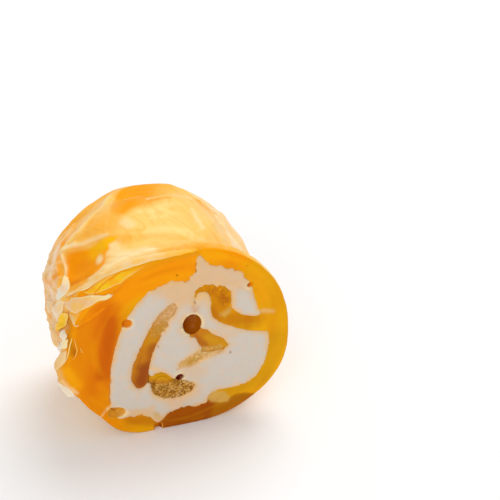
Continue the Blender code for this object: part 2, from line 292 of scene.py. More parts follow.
def brushStrokes(tint, strokes, distanceTo, u, v):
    for paint, start, end, halfWidth, strength in strokes:
        tint = brush(tint, paint, strength * softMask(distanceTo(u, v, start, end), halfWidth))
    return tint


def brushPatches(tint, patches, maskOf, u, v):
    for paint, corners, fade, strength in patches:
        tint = brush(tint, paint, strength * maskOf(u, v, corners, fade))
    return tint


def brushSpecks(tint, specks, x, z, strength):
    for speckX, speckZ in specks:
        tint = brush(tint, "brown", strength * softMask(np.hypot(x - speckX, z - speckZ), speckRadius))
    return tint


def ridgeHeights(ridges, distanceTo, u, v):
    # soft ridges and hollows: start, end, height, half width
    total = np.zeros(len(u))
    for start, end, height, halfWidth in ridges:
        total += height * np.exp(-(distanceTo(u, v, start, end) / halfWidth) ** 2)
    return total


def cutSpots(spots, x, z):
    # soft spots on the cut, added up: start, end, half width, how much
    total = np.zeros(len(x))
    for start, end, halfWidth, much in spots:
        total += much * softMask(cutStroke(x, z, start, end), halfWidth)
    return total


def depthFromCuts(points):
    return np.minimum(points[:, 1], roll["length"] - points[:, 1])


def facingCut(normals):
    # 1 where the surface faces along the roll, as both cuts do
    return ease((np.abs(normals[:, 1]) - 0.35) / 0.4)


def facingOut(points):
    # -1 towards the front cut, 1 towards the back one
    return np.where(points[:, 1] < roll["length"] / 2, -1.0, 1.0)


def pressBubble(points, x, z, radius, sink, tall):
    # opens a bubble in the front cut; its middle lies this far under the cut
    middle = np.array((x, sink, z / tall))
    pole = middle - (0, 0.8 * radius, 0)
    squashed = points / (1, 1, tall)
    inside = np.linalg.norm(squashed - middle, axis=1) < radius
    way = squashed[inside] - pole
    way[:, 1] = np.maximum(way[:, 1], 0.02)
    way /= np.linalg.norm(way, axis=1)[:, None]
    back = (way * (pole - middle)).sum(axis=1)
    reach = -back + np.sqrt(back ** 2 + radius ** 2 - (0.8 * radius) ** 2)
    points[inside] = (pole + way * reach[:, None]) * (1, 1, tall)
    return inside


class Surface:
    # a piece's surface to lay films on and to measure from

    def __init__(self, piece):
        points = rollPoints(piece)
        faces = [tuple(face.vertices) for face in piece.data.polygons]
        self.tree = BVHTree.FromPolygons([Vector(point) for point in points], faces)

    def onRoll(self, angle, along, lift):
        # a point over the roll: an angle and a distance back from the front rim, or in over the cut
        # where the distance is below zero
        turn = math.radians(angle)
        outward = Vector((math.cos(turn), 0, math.sin(turn)))
        across, up = (float(part) for part in shiftAt(np.array(max(0.0, along))))
        if along > 1.5:
            middle, out = Vector((across, along, up)), outward
        elif along < -1.6:
            middle, out = outward * (roll["rimRadius"] + along) + Vector((0, 1.5, 0)), Vector((0, -1, 0))
        else:
            bend = math.atan2(1.5 - max(along, 0), 1.6 + min(along, 0))
            middle = outward * (roll["rimRadius"] - 1.6) + Vector((across, 1.5, up))
            out = outward * math.cos(bend) - Vector((0, 1, 0)) * math.sin(bend)
        hit = self.tree.ray_cast(middle + out * (20 if along > 1.5 else 5), -out)[0]
        return hit + out * lift if hit else middle + out * 1.6

    def pulls(self, points, reach):
        # every point's distance to the surface and the way there, level with the cuts
        gaps, ways = np.full(len(points), reach), np.zeros((len(points), 3))
        for index, point in enumerate(points):
            hit, _, _, gap = self.tree.find_nearest(Vector(point), reach)
            if hit:
                gaps[index] = gap
                ways[index] = hit - Vector(point)
        ways[:, 1] = 0
        ways /= np.maximum(np.linalg.norm(ways, axis=1), 1e-6)[:, None]
        return gaps, ways


# Air bubbles that the cut opened. The shape is x, z, radius, depth of the middle and height over width;
# the paints are the lit side's and the dark side's.

bubbles = {
    "big": {"shape": (1.55, 1.83, 1.06, 0.3, 1.3), "paints": ("rust", "brown")},
    "left": {"shape": (-5.5, 3.5, 0.58, 0.2, 1.0), "paints": ("marigold", "amber")},
    "right": {"shape": (8.0, 5.7, 0.34, 0.14, 1.0), "paints": ("orange", "amber")},
    "low": {"shape": (-7.3, -8.4, 1.1, -0.4, 0.76), "paints": ("caramel", "caramel")},
    "rim": {"shape": (-2.7, -11.8, 0.5, 0.1, 1.0), "paints": ("brown", "amber")},
    "nodule": {"shape": (-0.05, -5.0, 0.5, 0.2, 1.0), "paints": ("hole", "hole")},
}


def pressBubbles(points, names):
    # opens these bubbles and says which points lie in each
    return {name: pressBubble(points, *bubbles[name]["shape"]) for name in names}


def bubbleTint(tint, points, pits, lip=0.0):
    # lit towards the lower right and dark at the upper left; the white has a pale lip round them
    for name, inside in pits.items():
        x, z, radius, sink, tall = bubbles[name]["shape"]
        lit, dark = bubbles[name]["paints"]
        across, up = points[:, 0] - x, (points[:, 2] - z) / tall
        mouth, off = math.sqrt(radius ** 2 - sink ** 2), np.hypot(across, up)
        within = inside | ((off < mouth) & (points[:, 1] < 1.0))
        tint = brush(tint, lit, within.astype(float))
        tint = brush(tint, dark, within * ease(0.6 - (across - up) / radius * 0.7))
        ring = softMask(np.abs(off - mouth - 0.05), 0.08) * ease((0.3 - points[:, 1]) / 0.2)
        tint = brush(tint, "cream", lip * ring)
    return tint


# The amber sheet

skin = {
    "node": "amber_wrap",
    "voxel": 0.172,
    "smoothing": 5,
    "fineSpots": ((3.7, 5.0, 2.9), (-5.6, 3.5, 0.9), (8.0, 5.7, 0.6), (-7.2, -8.1, 1.4)),
    "coreMiddle": (0.6, -0.6),
    "coreRadius": 10.2,       # the core's layers fill the roll out to here
    "tuck": 0.45,             # how far the amber runs in under the edge of the white
    "granule": 0.34,
    "bubbles": ("left", "right", "low", "rim"),
    "thinned": 0.12,          # share of the faces that is kept where nobody sees them
    # thin folds: start and end (angle, distance from the front cut), height, half width
    "folds": (
        ((137, 8.0), (130, 7.2), 0.24, 0.22), ((130, 7.2), (113, 5.6), 0.16, 0.22),
        ((139, 7.6), (143, 5.7), 0.22, 0.17), ((143, 5.7), (148, 4.4), 0.2, 0.18),
        ((99, 10.3), (90, 10.3), 0.14, 0.14), ((87, 8.9), (74, 9.6), 0.14, 0.14),
        ((151, 4.4), (158, 12.5), 0.14, 0.22), ((146, 6.4), (131, 13.2), 0.16, 0.25),
        ((106, 12.0), (124, 8.6), 0.16, 0.45), ((124, 8.6), (138, 8.2), 0.16, 0.4),
        ((155, 5.0), (168, 13.0), 0.12, 0.2), ((162, 4.5), (178, 12.0), 0.12, 0.22),
        ((168, 3.2), (190, 10.5), 0.12, 0.22), ((176, 2.5), (203, 9.5), 0.12, 0.24),
        ((186, 2.0), (212, 8.0), 0.14, 0.22), ((58, 10.2), (53, 8.2), 0.16, 0.18),
        ((64, 12.5), (47, 7.0), 0.14, 0.3), ((47, 7.2), (44, 2.0), 0.16, 0.3),
        ((120, 11.5), (112, 13.8), 0.14, 0.3), ((30, 3.0), (12, 11.0), 0.09, 0.4),
        ((2, 9.5), (-24, 4.5), 0.09, 0.4), ((-40, 4.0), (-66, 10.5), 0.09, 0.4),
        ((240, 2.5), (222, 9.0), 0.1, 0.35), ((228, 4.5), (212, 13.0), 0.1, 0.35),
    ),
    "wrinkles": 0.12,
    "pocket": ((136.4, 7.2), (131, 6.7), (126, 6.1), (120.7, 5.7), (113.9, 5.1), (109, 4.5), (111.2, 4.0),
               (114.6, 4.0), (115, 3.4), (117.5, 3.2), (119.3, 2.6), (121.6, 2.0), (125.6, 1.6), (130.1, 1.7),
               (134.4, 2.4), (138.8, 3.0), (144.7, 3.7), (144.2, 4.7), (141.3, 5.9), (140.2, 6.6)),
    # patches of colour on the skin: paint, corners (angle, distance from the front cut), fade, strength
    "patches": (
        ("milk", ((103, 7.3), (96, 7.8), (82, 7.4), (72, 6.3), (72, 4.1), (80, 2.8), (93, 3.5), (102, 5.1)),
         0.9, 1.0),
        ("milk", ((99, 5.4), (78, 5.0), (62, 4.6), (66, 1.2), (84, 0.9), (98, 1.1), (104, 2.2)), 1.2, 0.85),
        ("marigold", ((105, 10.8), (101.3, 11.8), (95.9, 13), (83, 13), (66.4, 12.8), (64, 9.4), (72, 8.2),
                      (87.8, 8.0), (98.6, 8.2), (102.6, 7.6), (106.5, 7.6), (107.3, 9)), 0.5, 1.0),
        ("orange", ((104, 9.8), (105, 7.8), (100, 8.0), (95, 8.9), (84, 8.4), (76, 9.0), (78, 9.6),
                    (92, 9.8)), 0.8, 0.6),
    ),
    # strokes of colour: paint, start, end, half width, strength
    "strokes": (
        # the cream strokes in this list are painted highlights
        ("tan", (158, 10.5), (178, 6.0), 3.4, 0.8),
        ("apricot", (140, 9.5), (118, 10.0), 2.6, 0.85),
        ("milk", (72, 6.4), (56, 5.4), 3.4, 0.9),
        ("milk", (62, 10.5), (40, 7.0), 3.0, 0.8),
        ("peach", (52, 8.0), (36, 3.0), 1.8, 0.7),
        ("apricot", (118, 7.6), (107, 6.0), 1.2, 0.9),
        ("milk", (109, 4.6), (101, 3.2), 1.3, 0.8),
        ("honey", (118, 5.7), (105, 3.6), 0.5, 0.8),
        ("honey", (105, 3.6), (78, 2.4), 0.5, 0.6),
        ("honey", (130, 8.8), (112, 7.0), 1.5, 0.9),
        ("cream", (131, 1.8), (122, 1.0), 0.5, 0.9),
        ("cream", (122, 1.2), (102, 0.9), 0.8, 0.9),
        ("cream", (113.4, 3.4), (112, 1.2), 0.8, 0.7),
        ("cream", (102.5, 6.3), (101.2, 5.7), 0.6, 0.7),
        ("peach", (163, 8.4), (145, 10.3), 1.0, 0.85),
        ("cream", (57.4, 9.6), (49.8, 7.0), 0.22, 0.8),
        ("cream", (49.8, 7.0), (38.0, 5.5), 0.2, 0.8),
        ("cream", (66.2, 7.6), (63.6, 4.4), 0.25, 0.7),
        ("marigold", (60, 10.1), (53, 8.3), 0.35, 0.7),
        ("orange", (126, 11.2), (141, 9.2), 0.34, 1.0),
        ("orange", (141, 9.2), (149, 6.1), 0.5, 1.0),
        ("milk", (106, 12.0), (124, 8.6), 0.4, 0.9),
        ("milk", (124, 8.6), (138, 8.1), 0.5, 0.8),
        ("orange", (142.0, 7.8), (151, 7.2), 0.45, 0.9),
        ("orange", (166.5, 7.2), (173.5, 6.6), 0.35, 0.8),
        ("orange", (156, 7.4), (170, 12.4), 0.3, 0.6),
        ("orange", (166, 6.4), (182, 11.0), 0.3, 0.5),
        ("orange", (175.0, 8.4), (181.2, 8.6), 0.35, 0.7),
        ("amber", (186.8, 6.0), (190.7, 6.0), 0.6, 0.8),
        ("marigold", (158, 1.6), (170, 1.2), 0.9, 1.0),
        # painted shade in the gap under the window flake
        ("ochre", (157.5, 0.5), (167, 0.1), 0.55, 0.9),
        ("amber", (174, 3.4), (182, 3.6), 0.7, 0.9),
        ("peach", (178, 6.5), (200, 4.6), 1.5, 0.7),
        ("tan", (178, 0.8), (214, 0.9), 0.9, 0.9),
    ),
    # the pocket's own colours, over all else
    "pocketStrokes": (
        ("sun", (120.9, 5.4), (110, 4.3), 1.3, 1.0),
        ("amber", (138, 5.4), (132, 4.4), 0.7, 0.5),
        ("amber", (146, 4.2), (132, 2.6), 0.6, 0.7),
        ("deep", (146, 4.0), (140, 3.1), 0.4, 0.6),
    ),
    "skinLines": (
        # the cream lines and the cream dot are painted highlights
        ("cream", (137, 8.0), (130, 7.1), 0.14, 0.9),
        ("cream", (130, 7.1), (113, 5.4), 0.12, 0.7),
        ("cream", (139, 7.4), (144, 5.4), 0.12, 0.6),
        ("cream", (122.9, 3.5), (122.3, 3.1), 0.46, 0.9),
        ("bran", (168.0, 7.6), (161.0, 5.3), 0.09, 0.6),
        ("bran", (173.5, 8.1), (177.4, 7.9), 0.1, 0.5),
        ("bran", (171.5, 2.9), (168.0, 2.3), 0.14, 0.7),
        ("cream", (99, 10.4), (90, 10.4), 0.12, 0.9),
        ("cream", (88, 9.0), (74, 9.7), 0.12, 0.9),
        ("orange", (97, 9.9), (88, 9.8), 0.16, 0.6),
        ("orange", (88, 8.6), (76, 9.1), 0.16, 0.6),
    ),
    # where the sheet swells or sinks: start and end (angle, distance from the front cut), height, width
    "swells": (((184, 0.3), (191, 0.3), 0.95, 1.1), ((164, 9.5), (180, 6.6), -0.5, 3.2),
               ((176, 5.6), (190, 5.2), -0.5, 2.0), ((176, 9.2), (182, 10.6), -0.45, 2.0),
               ((123, 12.7), (112, 12.7), -0.35, 2.5)),
    "flapAngles": (192, 203),  # the thin pale flap that stands off at the lower left
    # strokes of colour on the cut: paint, start (x, z), end, half width, strength
    "cutStrokes": (
        ("amber", (-9.5, 5.0), (-10.5, -5.0), 3.6, 1.0),
        ("amber", (-10.0, -5.0), (-7.4, -9.0), 2.2, 1.0),
        ("orange", (-9.5, 6.4), (-5.0, 8.0), 1.6, 1.0),
        ("orange", (-7.5, 8.6), (6.4, 9.8), 1.8, 1.0),
        ("orange", (-5.4, 7.4), (1.0, 8.6), 1.0, 0.9),
        # painted shade: deep and ember darken the cut towards its left side
        ("deep", (-7.6, 5.4), (-9.0, -4.2), 1.3, 0.95),
        ("ember", (-7.1, 4.2), (-8.4, -3.0), 0.7, 0.85),
        ("amber", (-8.7, -4.2), (-8.4, -7.4), 0.7, 0.7),
        # painted shade: ochre darkens the cut along its bottom
        ("ochre", (-5.6, -9.9), (-3.2, -10.4), 0.9, 0.9),
        ("butter", (3.0, 10.4), (4.6, 9.8), 0.8, 0.6),
        ("marigold", (8.6, 6.8), (9.4, 3.6), 0.9, 0.5),
        ("butter", (-12.4, -1.4), (-11.5, -3.6), 0.6, 0.6),
        ("tan", (-13.4, -0.4), (-13.0, -3.2), 0.45, 0.95),
        ("peach", (-12.9, -2.6), (-11.4, -4.6), 0.16, 0.9),
        ("olive", (4.0, -8.9), (9.4, -7.2), 1.0, 0.9),
        ("olive", (9.2, -6.8), (11.2, -2.2), 1.1, 0.85),
        ("ochre", (8.6, 0.9), (4.9, 1.8), 0.9, 0.9),
        ("olive", (8.4, 0.2), (7.2, 0.5), 0.3, 0.8),
        ("ochre", (4.6, 3.2), (4.6, 5.0), 1.0, 0.7),
        ("ochre", (2.4, 6.2), (5.4, 5.6), 1.0, 0.7),
        ("rust", (4.9, 4.6), (5.4, 4.0), 0.4, 0.7),
        ("rust", (3.9, 3.4), (4.2, 2.2), 0.25, 0.7),
        ("crumb", (9.3, 1.9), (10.6, 1.6), 0.24, 0.75),
        ("deep", (-11.2, 4.0), (-9.0, 5.0), 0.3, 0.5),
        ("orange", (-11.2, 4.3), (-9.5, 4.9), 0.14, 0.9),
        ("orange", (-9.5, 4.9), (-7.9, 6.0), 0.14, 0.7),
        # painted shade under the loose flakes at the far left of the cut
        ("ochre", (-11.8, 4.4), (-12.3, 2.4), 0.5, 0.8),
        ("rust", (-12.0, 3.6), (-11.4, 0.9), 0.34, 0.8),
        ("cream", (-8.3, -7.5), (-7.0, -7.3), 0.14, 0.9),
        ("cream", (-9.3, -8.9), (-8.3, -7.5), 0.1, 0.5),
    ),
    # patches on the cut: paint, corners (x, z), fade, strength
    "cutPatches": (
        # painted shade: the bark and brown patches darken the cut along its bottom
        ("bark", ((2.0, -9.0), (4.6, -9.4), (5.7, -9.3), (6.4, -9.0), (7.7, -9.2), (8.8, -9.6), (6.6, -12.4),
                  (2.9, -13.4)), 0.4, 0.95),
        ("brown", ((-2.5, -10.9), (-1.6, -9.4), (-0.8, -8.6), (1.9, -8.2), (3.2, -8.2), (3.9, -10.0),
                   (2.6, -13.4), (-2.5, -13.4)), 0.9, 0.95),
        ("wheat", ((2.6, -8.6), (2.8, -7.9), (3.9, -8.0), (5.0, -8.4), (5.7, -9.3), (5.4, -9.9), (4.5, -9.8),
                   (3.4, -9.5)), 0.35, 0.95),
        ("wheat", ((5.9, 3.3), (4.6, 2.5), (5.2, 2.1), (5.9, 2.6)), 0.25, 0.9),
    ),
    "cutFolds": (((-11.2, 4.3), (-9.5, 4.9), 0.1, 0.16), ((-9.5, 4.9), (-7.9, 6.0), 0.07, 0.16),
                 ((-9.9, -6.0), (-8.9, -7.6), 0.1, 0.12)),
    # where the hook is full of small bubbles: start, end, half width
    "bubbly": (((2.6, 6.3), (5.4, 5.6), 0.9), ((5.2, 5.4), (5.6, 3.6), 0.7)),
    "specks": ((7.7, 8.2), (0.1, 8.6), (9.3, -4.9)),
}


def pullRidges(angles, along, slant, width, seed):
    # long thin ridges, up to 1, that run the way the skin was pulled
    turn = math.radians(slant)
    u = angles * mmPerDegree
    lengthways = along * math.cos(turn) - u * math.sin(turn)
    across = along * math.sin(turn) + u * math.cos(turn)
    stretched = np.column_stack((lengthways / 5.0, across / width, np.zeros(len(u))))
    return np.clip(1 - 2 * np.abs(cloud(stretched, 1.0, seed)), 0, 1)


def wrinkleHeights(angles, along):
    # strongest on the left
    strength = 0.25 + 0.75 * softMask(skinStroke(angles, along, (165, 8), (200, 7)), 6.0)
    strength *= 1 - 0.8 * softMask(skinStroke(angles, along, (105, 4), (50, 4)), 4.0)
    return pullRidges(angles, along, -38, 1.7, 3) ** 3 * strength


def hiddenInside(middles):
    x, z = layerPlaces(middles)
    within = np.hypot(x - skin["coreMiddle"][0], z - skin["coreMiddle"][1]) < skin["coreRadius"]
    return (depthFromCuts(middles) > roll["shownDepth"]) & within


def skinMarks(points, normals):
    # places and masks that the sheet's shape and its colours both go by
    at = SimpleNamespace()
    at.angles, at.along = skinPlaces(points)
    at.radius = np.hypot(points[:, 0], points[:, 2])
    at.near, at.toCore = Surface(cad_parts["white_core"]).pulls(points, 1.5)
    at.onCut = facingCut(normals) * ease((1.8 - depthFromCuts(points)) / 0.6)
    at.outside = ease((at.radius - skin["coreRadius"]) / 0.8) * (1 - at.onCut) * ease((at.near - 0.4) / 0.3)
    # the thin folds and wrinkles die away at the cuts
    at.fade = ease(at.along / 0.5) * ease((roll["length"] - at.along) / 0.8) * at.outside
    at.offPocket = 1 - skinPatch(at.angles, at.along, skin["pocket"], 1.0)
    at.folds = ridgeHeights(skin["folds"], skinStroke, at.angles, at.along)
    at.wrinkles = wrinkleHeights(at.angles, at.along) * at.offPocket
    x, z = layerPlaces(points)
    hooks = [softMask(cutStroke(x, z, start, end), halfWidth) for start, end, halfWidth in skin["bubbly"]]
    at.bubbly = np.max(hooks, axis=0) * at.onCut
    return at


def shapeSkin(points, normals, at):
    flat = ease((points[:, 2] + roll["cutMiddle"][2]) / 0.5)  # the spot it rests on stays flat
    raised = (at.folds + skin["wrinkles"] * at.wrinkles + 0.05 * cloud(points, 1.3, 5)) * at.fade * flat
    moved = points + normals * raised[:, None]
    # the thin flap at the lower left is small, and the sheet swells above it
    first, last = skin["flapAngles"]
    turned = at.angles % 360
    past = 0.35 + 0.55 * ease((turned - last) / 3)
    stretch = -past * np.maximum(0, at.radius - 12.4)
    stretch *= ease((turned - first + 4) / 3) * ease((240 - turned) / 20)
    swell = ridgeHeights(skin["swells"], skinStroke, at.angles, at.along)
    stretch += swell * ease((at.radius - 10.5) / 2)
    moved[:, (0, 2)] *= (1 + stretch / at.radius)[:, None]
    # the amber runs in under the edge of the white
    moved += at.toCore * (skin["tuck"] * ease((1.1 - at.near) / 0.8))[:, None]
    return moved


def roughenSkinCut(points, moved, at):
    # the cut is not quite flat, and bubbly in the hook
    x, z = layerPlaces(points)
    at.lumps = granules(moved, skin["granule"], at.bubbly)
    relief = 0.05 * cloud(points, 2.2, 9) * ease((at.near - 0.4) / 0.6)
    relief += at.bubbly * (0.1 * at.lumps - 0.1) + ridgeHeights(skin["cutFolds"], cutStroke, x, z)
    moved[:, 1] += facingOut(points) * at.onCut * relief


def skinSideTint(points, at, warp):
    angles, along = at.angles, at.along
    warpedAngles = angles + warp / mmPerDegree
    warpedAlong = along + 0.16 * cloud(points, 1.3, 13) + 0.1 * cloud(points, 0.5, 14)
    tint = np.tile(paints["honey"], (len(points), 1))
    tint = brush(tint, "milk", 0.75 * ease(0.5 + 1.6 * cloud(points, 4.5, 21)))
    tint = brush(tint, "marigold", 0.85 * ease(-0.2 - 1.8 * cloud(points, 3.0, 22)))
    tint = brushPatches(tint, skin["patches"], skinPatch, warpedAngles, warpedAlong)
    tint = brushStrokes(tint, skin["strokes"], skinStroke, warpedAngles, warpedAlong)
    inPocket = np.tile(paints["orange"], (len(points), 1))
    inPocket = brushStrokes(inPocket, skin["pocketStrokes"], skinStroke, warpedAngles, warpedAlong)
    pocketShare = skinPatch(angles + 0.5 * warp / mmPerDegree, along, skin["pocket"], 0.4)
    tint += (inPocket - tint) * pocketShare[:, None]
    # fine lines where the skin was pulled
    pulled = ease(0.2 + 1.6 * cloud(points, 3.2, 8)) * at.offPocket * ease(9.5 - along)
    fineLines = ease((pullRidges(angles, along, 40, 1.3, 6) - 0.8) / 0.16)
    tint = brush(tint, "cream", 0.32 * fineLines * pulled)
    fineLines = ease((pullRidges(angles, along, -30, 1.1, 7) - 0.8) / 0.16)
    tint = brush(tint, "marigold", 0.3 * fineLines * (1 - pulled))
    tint = brushStrokes(tint, skin["skinLines"], skinStroke, angles + 0.4 * warp / mmPerDegree, along)
    # cream on the folds' crests and peach on the wrinkles' crests: partly the skin's pale film, partly
    # painted highlight
    tint = brush(tint, "cream", 0.5 * ease((at.folds - 0.08) / 0.12) * at.fade * at.offPocket)
    return brush(tint, "peach", 0.5 * ease((at.wrinkles - 0.25) / 0.5) * at.fade * at.offPocket)


def skinCutTint(x, z, at, warp):
    tint = np.tile(paints["gold"], (len(x), 1))
    warpedX, warpedZ = x + warp * 0.8, z + warp * 0.6
    tint = brushStrokes(tint, skin["cutStrokes"], cutStroke, warpedX, warpedZ)
    tint = brushPatches(tint, skin["cutPatches"], patchMask, warpedX, warpedZ)
    # faint darker and lighter bands that follow the rim
    turns = np.radians(at.angles)
    flow = cloud(np.column_stack((2 * np.cos(turns), 2 * np.sin(turns), at.radius / 0.7)), 1.0, 15)
    tint = brush(tint, "ember", 0.18 * ease(1.6 * flow))
    tint = brush(tint, "sun", 0.22 * ease(-1.6 * flow))
    tint = brush(tint, "honey", 0.4 * ease((0.5 - at.near + 0.3 * warp) / 0.25))
    tint = brush(tint, "marigold", at.bubbly * ease((at.lumps - 0.55) / 0.3) * 0.7)
    return brush(tint, "rust", at.bubbly * ease((0.35 - at.lumps) / 0.3) * 0.5)


def makeSkin():
    piece, points, normals = finePiece("taffy_skin", skin)
    at = skinMarks(points, normals)
    moved = shapeSkin(points, normals, at)
    roughenSkinCut(points, moved, at)
    pits = pressBubbles(moved, skin["bubbles"])
    moved[:, 2] = np.maximum(moved[:, 2], -roll["cutMiddle"][2])

    x, z = layerPlaces(moved)
    warp = 0.16 * cloud(points, 1.4, 11) + 0.1 * cloud(points, 0.5, 12)
    side = skinSideTint(points, at, warp)
    cut = skinCutTint(x, z, at, warp)
    rimLight = ease((at.radius - 11.0) / 1.4) * (1 - at.onCut)
    share = np.clip(at.onCut + (1 - at.outside) * (1 - rimLight), 0, 1)
    tint = side + (cut - side) * share[:, None]
    first, last = skin["flapAngles"]
    onFlap = ease((at.angles % 360 - first) / 1.5) * ease((last + 4 - at.angles % 360) / 1.5)
    tint = brush(tint, "pearl", onFlap * ease((at.radius - 12.7) / 0.15))
    tint = brushSpecks(tint, skin["specks"], x, z, at.onCut)
    tint = bubbleTint(tint, moved, pits)
    # deep colours shine less than the pale skin
    paleness = ease(tint[:, 2] / 0.25)
    finishPiece(piece, moved, tint, 0.5 * (1 - share) * (0.06 + 0.94 * paleness))
    thinHiddenWalls(piece, hiddenInside, skin["thinned"])
    return piece


# The white taffy

white = {
    "node": "white_core",
    "voxel": 0.145,
    "smoothing": 4,
    "fineSpots": ((1.5, -3.1, 2.6), (4.2, -2.2, 1.6), (-5.6, 3.5, 0.9), (8.0, 5.7, 0.6), (-7.2, -8.1, 1.4),
                  (1.5, 2.1, 1.7), (2.2, 4.8, 1.5)),
    "growth": 0.2,
    "ragged": 0.24,           # how far the edges wander
    "granule": 0.34,
    "bubbles": ("left", "right", "low", "rim", "big", "nodule"),
    "thinned": 0.1,
    # edges that are torn more than the rest: start (x, z), end, half width, how much
    "torn": (
        ((-2, 8.0), (7.2, 7.8), 1.5, 1.5),
        ((-5.6, -9.2), (3.2, -8.8), 0.9, 1.0),
        ((-0.4, 4.6), (-2.2, 1.6), 0.7, 1.0),
    ),
    # where it reaches further over the amber, or stays back from it: start, end, half width, how much
    "reach": (
        ((-0.6, 4.6), (-1.6, 2.8), 0.5, -0.26),
        ((2.6, 5.6), (2.6, 4.2), 0.4, 0.6),
        ((1.3, 5.6), (1.4, 4.2), 0.4, 0.35),
        ((3.4, 5.2), (3.7, 4.2), 0.3, 0.1),
        ((1.1, -0.6), (1.8, -1.9), 0.45, 0.5),
        ((1.8, 10.6), (1.8, 8.8), 0.35, -0.4),
        ((3.0, 10.6), (3.2, 9.9), 0.3, -0.2),
        ((-8.2, -2.8), (-8.0, -6.6), 0.6, -0.3),
    ),
    # patches of colour on the cut: paint, corners (x, z), fade, strength
    "patches": (
        ("blush", ((1.9, 9.8), (2.7, 11.0), (3.4, 9.4), (3.8, 9.2), (5.2, 8.6), (6.4, 7.8), (7.6, 6.8),
                   (7.5, 5.3), (6.6, 5.2), (4.8, 6.0), (3.7, 6.4), (2.0, 6.2), (1.5, 5.0), (0.4, 4.6),
                   (-0.8, 5.4), (-2.4, 6.9), (-1.6, 8.0), (0.8, 8.2), (1.6, 8.6)), 1.6, 0.9),
        ("crumb", ((2.4, -1.4), (5.6, -1.6), (5.0, -2.9), (3.3, -3.2), (1.3, -4.0), (-0.4, -4.0), (0.0, -2.8),
                   (1.5, -2.0)), 0.6, 0.9),
    ),
    # strokes: paint, start (x, z), end, half width, strength
    "strokes": (
        ("white", (3.0, 4.7), (2.7, 3.4), 0.5, 0.4),
        ("blush", (3.0, 4.9), (2.8, 4.0), 0.5, 0.4),
        ("wheat", (4.6, -1.9), (2.8, -2.3), 0.4, 0.9),
        ("wheat", (2.8, -2.3), (0.2, -3.5), 0.34, 0.9),
        ("foam", (0.9, -3.35), (1.9, -3.0), 0.26, 0.8),
        ("blush", (0.4, -4.3), (2.4, -4.8), 0.7, 0.5),
        ("blush", (-1.0, -8.4), (1.4, -7.6), 0.9, 0.6),
        ("blush", (-6.0, -8.9), (-3.6, -8.9), 0.5, 0.9),
        ("wheat", (-2.9, -9.6), (-2.4, -10.4), 0.4, 0.8),
        ("blush", (-0.2, 5.0), (-1.8, 2.6), 0.8, 0.7),
        ("blush", (-4.6, -1.0), (-5.0, -4.4), 0.5, 0.35),
        ("crumb", (-1.9, 2.0), (-2.5, 0.6), 0.4, 0.5),
        ("crumb", (-2.8, -3.2), (-2.2, -3.9), 0.4, 0.7),
        ("ochre", (1.8, 4.6), (1.95, 3.4), 0.16, 0.9),
        ("blush", (4.4, 0.4), (6.2, -0.6), 0.5, 0.5),
    ),
    # the grainy trail below the wedge
    "trail": ((2.6, -1.5), (5.5, -1.7), (4.8, -2.8), (3.1, -3.0), (1.3, -3.8), (-0.3, -3.9), (0.1, -2.9),
              (1.6, -2.1)),
    "specks": ((5.8, -2.9), (-2.3, -0.3)),
}


def hiddenDeep(middles):
    return depthFromCuts(middles) > roll["shownDepth"]


def besideBubble(x, z):
    # 1 round the big bubble where the white comes right up to it, 0 on the wedge's side
    middleX, middleZ, _, _, tall = bubbles["big"]["shape"]
    offX, offZ = x - middleX, (z - middleZ) / tall
    off = np.hypot(offX, offZ)
    towardsWedge = (0.35 * offX - 0.94 * offZ) / np.maximum(off, 0.01)
    return ease((2.1 - off) / 0.5) * (1 - ease((towardsWedge - 0.6) / 0.2))


def makeWhite():
    piece, points, normals = finePiece("taffy_white", white)
    x, z = layerPlaces(points)
    onCut = facingCut(normals)
    level = np.column_stack((x, np.zeros(len(x)), z))
    wander = cloud(level, 0.8, 31) + 0.8 * cloud(level, 0.35, 32)
    growth = white["growth"] + white["ragged"] * (0.35 + cutSpots(white["torn"], x, z)) * wander
    growth += cutSpots(white["reach"], x, z) + 0.4 * besideBubble(x, z)
    moved = points + normals * (1, 0, 1) * growth[:, None]
    trail = patchMask(x + 0.2 * wander, z + 0.2 * wander, white["trail"], 0.5)
    lumps = granules(points, white["granule"], trail)
    relief = -0.04 + 0.04 * cloud(points, 1.4, 33) + 0.02 * cloud(points, 0.45, 34)
    moved[:, 1] += facingOut(points) * onCut * (relief + trail * (0.16 * lumps - 0.12))
    pits = pressBubbles(moved, white["bubbles"])

    x, z = layerPlaces(moved)
    tint = np.tile(paints["white"], (len(points), 1))
    warp = 0.3 * cloud(points, 1.1, 36) + 0.18 * cloud(points, 0.4, 37)
    tint = brushPatches(tint, white["patches"], patchMask, x + warp, z + warp)
    tint = brushStrokes(tint, white["strokes"], cutStroke, x + warp, z + warp)
    amberNodes = [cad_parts[name] for name in ("amber_wrap", "amber_curl", "amber_wedge", "foam_nodule")]
    near = np.min([Surface(node).pulls(points, 1.2)[0] for node in amberNodes], axis=0)
    # blush and crumb at the edges next to the amber: partly amber mixed into the white, partly a painted
    # glow of light through the amber; more in some places than in others
    seepAndGlow = 0.55 + 0.45 * ease(0.5 + 1.5 * cloud(points, 1.6, 38))
    tint = brush(tint, "blush", 0.75 * seepAndGlow * ease((1.0 - near + warp * 0.9) / 0.7))
    tint = brush(tint, "crumb", 0.85 * seepAndGlow * ease((0.62 - near + warp * 0.5) / 0.3))
    tint = brush(tint, "rose", 0.2 * ease(2.0 * cloud(points, 0.8, 39) - 0.1))
    tint = brush(tint, "foam", trail * ease((0.45 - lumps) / 0.4) * 0.8)
    tint = brush(tint, "cream", trail * ease((lumps - 0.75) / 0.2) * 0.4)
    tint = brushSpecks(tint, white["specks"], x, z, 0.8 * onCut)
    tint = bubbleTint(tint, moved, pits, lip=0.8)
    finishPiece(piece, moved, tint, 0.0)
    thinHiddenWalls(piece, hiddenDeep, white["thinned"])
    return piece


# The amber pieces inside the white. They stand out of it at the cuts and have grown sideways. Porous is
# where small bubbles fill them, wider is where they grow to the right, and sunk is where they drop.

